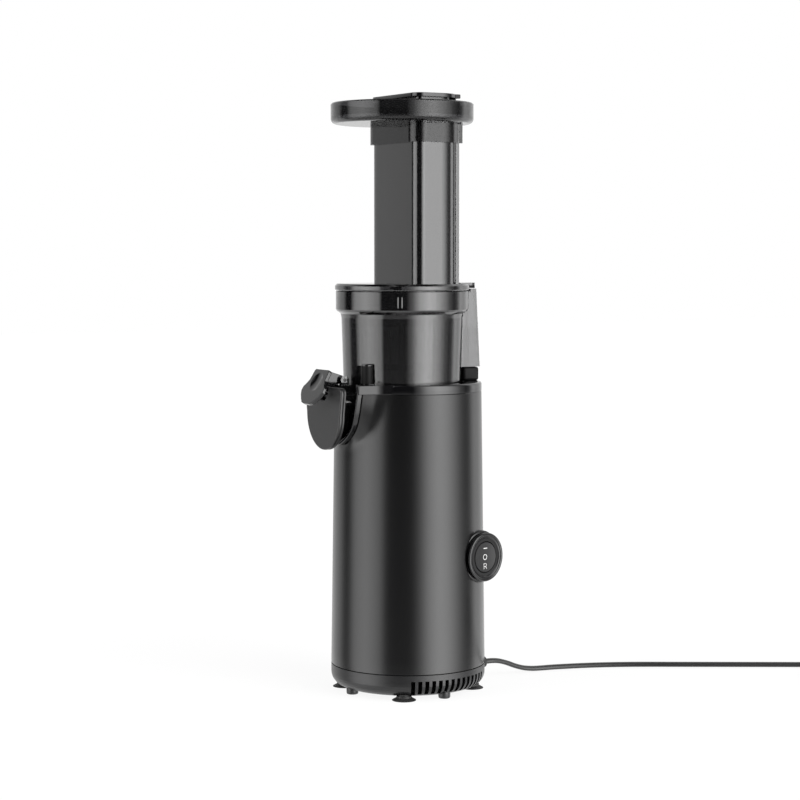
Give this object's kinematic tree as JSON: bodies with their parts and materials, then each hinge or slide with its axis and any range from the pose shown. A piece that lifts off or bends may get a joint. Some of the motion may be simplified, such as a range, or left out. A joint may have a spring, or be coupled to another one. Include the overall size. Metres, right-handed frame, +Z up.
{
  "type": "cold press juicer",
  "caption": "Slim vertical cold press juicer with a round base, smoked bowl, tall feed chute with tray and pusher, hinged juice cap, rocker switch and mains lead.",
  "frame": {"origin": "on the table under the centre of the round base", "axes": "+Z up; -Y towards the juice spout; -X towards the pulp spout; the bowl's column and the mains lead at +Y"},
  "size_m": [0.2387, 0.4729, 0.3996],
  "materials": {
    "satin_black": "satin black lacquered shell with a fine even grain",
    "gloss_black": "polished black plastic",
    "black_plastic": "moulded black plastic, fine satin",
    "dark_plastic": "dark grey structural plastic",
    "smoked": "smoked translucent plastic, polished",
    "silicone": "black silicone",
    "rubber_black": "black rubber",
    "steel": "brushed steel",
    "chrome": "plated steel",
    "brass": "bare brass",
    "laminate": "varnished iron laminations",
    "nylon": "natural nylon",
    "carbon": "carbon block",
    "board": "green circuit board with black parts",
    "cord_black": "flat black mains lead"
  },
  "bodies": {
    "base": {"base_shell": "satin_black", "collar_trim": "gloss_black", "bowl_well": "dark_plastic", "base_cap": "black_plastic", "cap_screws": "steel", "suction_feet": "rubber_black", "motor_can": "steel", "motor_stator": "laminate", "motor_end_plate": "steel", "motor_bearings": "brass", "carbon_brushes": "carbon", "gear_housing": "dark_plastic", "gearbox_screws": "steel", "ring_gear": "nylon", "output_bush": "brass", "shaft_seal": "silicone", "circuit_board": "board", "microswitch": "black_plastic", "switch_bezel": "gloss_black", "switch_housing": "gloss_black", "strain_relief": "rubber_black", "power_cord": "cord_black", "cord_coil": "cord_black", "plug_body": "cord_black", "plug_blades": "brass"},
    "rotor": {"motor_rotor": "laminate", "motor_fan": "dark_plastic", "sun_gear": "steel"},
    "carrier": {"planet_carrier": "steel", "planet_pins": "steel"},
    "planet_1": {"planet_gear_1": "nylon"},
    "planet_2": {"planet_gear_2": "nylon"},
    "planet_3": {"planet_gear_3": "nylon"},
    "switch_rocker": {"rocker": "black_plastic"},
    "bowl": {"juice_bowl": "smoked", "bowl_seal": "silicone", "strainer_basket": "black_plastic", "strainer_screen": "steel", "pulp_plug": "silicone", "cap_pin": "steel", "rod_guide": "brass", "interlock_spring": "chrome"},
    "screw": {"auger": "black_plastic", "auger_socket": "steel"},
    "spout_cap": {"juice_cap": "black_plastic", "cap_seal": "silicone", "cap_lever": "gloss_black"},
    "rod": {"interlock_rod": "steel"},
    "lid": {"lid": "smoked", "lid_seal": "silicone", "lid_bush": "nylon"},
    "tray": {"feed_tray": "smoked"},
    "pusher": {"pusher_body": "gloss_black", "pusher_head": "gloss_black"}
  },
  "joints": [
    {"name": "rotor_spin", "type": "hinge", "parent": "base", "child": "rotor", "pos_m": [0, -0.0046, 0.1], "axis": [0, 0, 1], "continuous": true},
    {"name": "carrier_spin", "type": "hinge", "parent": "base", "child": "carrier", "pos_m": [0, -0.0046, 0.15], "axis": [0, 0, 1], "continuous": true},
    {"name": "planet_1_spin", "type": "hinge", "parent": "carrier", "child": "planet_1", "pos_m": [0.015, -0.0046, 0.14], "axis": [0, 0, 1], "continuous": true},
    {"name": "planet_2_spin", "type": "hinge", "parent": "carrier", "child": "planet_2", "pos_m": [-0.0075, 0.00839, 0.14], "axis": [0, 0, 1], "continuous": true},
    {"name": "planet_3_spin", "type": "hinge", "parent": "carrier", "child": "planet_3", "pos_m": [-0.0075, -0.01759, 0.14], "axis": [0, 0, 1], "continuous": true},
    {"name": "auger_spin", "type": "hinge", "parent": "bowl", "child": "screw", "pos_m": [0, -0.0046, 0.2], "axis": [0, 0, 1], "continuous": true},
    {"name": "rocker_tilt", "type": "hinge", "parent": "base", "child": "switch_rocker", "pos_m": [0.0405, 0.03197, 0.092], "axis": [-0.2588, 0.9659, 0], "range_deg": [-7, 7]},
    {"name": "bowl_lift", "type": "slide", "parent": "base", "child": "bowl", "axis": [0, 0, 1], "range_m": [0, 0.06]},
    {"name": "cap_open", "type": "hinge", "parent": "bowl", "child": "spout_cap", "pos_m": [0, -0.05281, 0.2106], "axis": [-1, 0, 0], "range_deg": [0, 80]},
    {"name": "lid_turn", "type": "hinge", "parent": "bowl", "child": "lid", "pos_m": [0, -0.0046, 0.27], "axis": [0, 0, 1], "range_deg": [0, 30]},
    {"name": "rod_travel", "type": "slide", "parent": "bowl", "child": "rod", "axis": [0, 0, 1], "range_m": [0, 0.00301], "deforming": ["interlock_spring"]},
    {"name": "tray_lift", "type": "slide", "parent": "lid", "child": "tray", "axis": [0, 0, 1], "range_m": [0, 0.03]},
    {"name": "pusher_lift", "type": "slide", "parent": "tray", "child": "pusher", "axis": [0, 0, 1], "range_m": [0, 0.125]}
  ],
  "couplings": [
    {"joint": "carrier_spin", "follows": "rotor_spin", "ratio": 0.2},
    {"joint": "planet_1_spin", "follows": "rotor_spin", "ratio": -0.53333},
    {"joint": "planet_2_spin", "follows": "rotor_spin", "ratio": -0.53333},
    {"joint": "planet_3_spin", "follows": "rotor_spin", "ratio": -0.53333},
    {"joint": "auger_spin", "follows": "rotor_spin", "ratio": 0.2},
    {"joint": "rod_travel", "follows": "lid_turn", "m_per_rad": 0.0057296}
  ]
}
